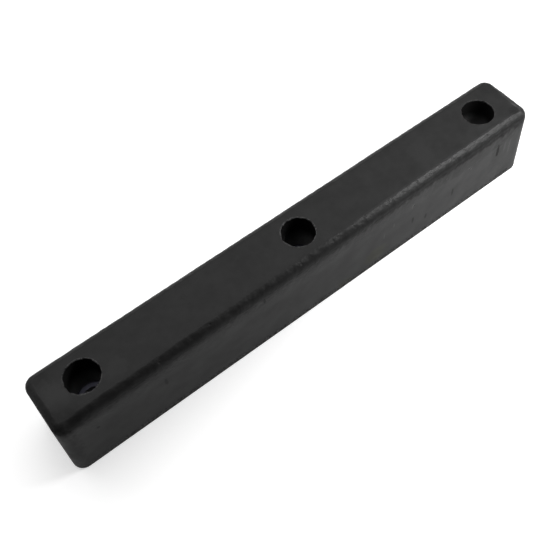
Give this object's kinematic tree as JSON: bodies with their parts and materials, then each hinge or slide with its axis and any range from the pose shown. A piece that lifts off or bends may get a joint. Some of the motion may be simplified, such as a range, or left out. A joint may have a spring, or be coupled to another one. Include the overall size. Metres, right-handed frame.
{
  "type": "trailer buffer",
  "caption": "Solid rubber trailer buffer: a drafted bar with rounded edges and bolt holes in a row, each stepped and lined with a steel washer at its shoulder.",
  "frame": {"origin": "centre of the flat mounting face, on the axis of the middle bolt hole", "axes": "+X along the bar, towards the right-hand hole; +Z out of the mounting face towards the face that takes the knocks, along the bolt holes; +Y across the bar"},
  "size_m": [0.45, 0.056, 0.068],
  "materials": {
    "black_rubber": "matte, as moulded, with small pits and scuffs",
    "zinc_plated_steel": "dull zinc plating, slightly blue"
  },
  "bodies": {
    "root": {"rubber_body": "black_rubber", "washer_left": "zinc_plated_steel", "washer_middle": "zinc_plated_steel", "washer_right": "zinc_plated_steel"}
  },
  "joints": []
}
